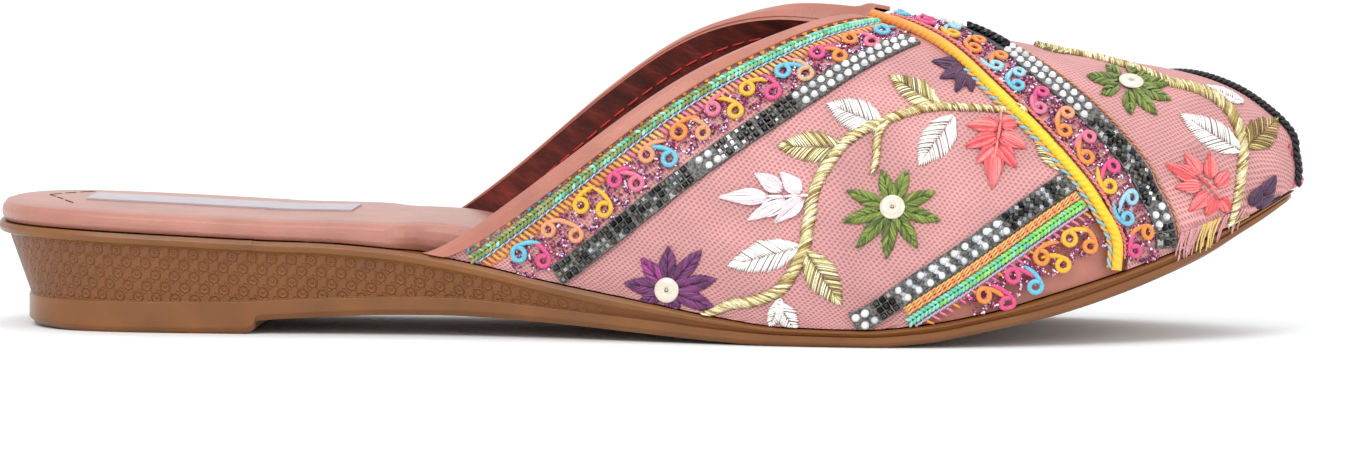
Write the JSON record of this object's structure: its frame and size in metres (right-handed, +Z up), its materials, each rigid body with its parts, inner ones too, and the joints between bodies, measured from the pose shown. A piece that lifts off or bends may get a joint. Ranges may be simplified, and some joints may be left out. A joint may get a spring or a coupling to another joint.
{
  "type": "embroidered mule",
  "caption": "Backless pointed flat mule for the right foot: moulded low wedge sole, padded insole, criss-cross embroidered net vamp.",
  "frame": {"origin": "on the floor, under the middle of the shoe's bounding box", "axes": "+X from heel to toe, +Y towards the inner side of the right foot, +Z up from the floor"},
  "size_m": [0.2592, 0.0808, 0.0644],
  "materials": {
    "sole_rubber": "moulded thermoplastic rubber, satin brown, embossed wall",
    "pink_leatherette": "smooth pink leatherette",
    "label_strip": "blank pale strip",
    "vamp_leather": "dusty pink leather outside, dark red velvet lining inside",
    "embroidered_net": "pink net with thread embroidery",
    "yellow_piping": "round cord whipped in yellow thread",
    "stone_tape": "silver faceted stones on black tape",
    "green_braid": "chain-stitched green braid",
    "black_cord": "twisted black thread cord"
  },
  "bodies": {
    "root": {"sole_unit": "sole_rubber", "insole": "pink_leatherette", "insole_label": "label_strip", "upper": "vamp_leather", "strap_under": "embroidered_net", "strap_over": "embroidered_net", "collar_binding_outer": "pink_leatherette", "collar_binding_inner": "pink_leatherette", "crossing_piping": "yellow_piping", "tile_tape": "stone_tape", "stone_tape_over": "stone_tape", "stone_tape_under": "stone_tape", "braid_rear": "green_braid", "braid_front": "green_braid", "braid_inner": "green_braid", "toe_cord": "black_cord"}
  },
  "joints": []
}
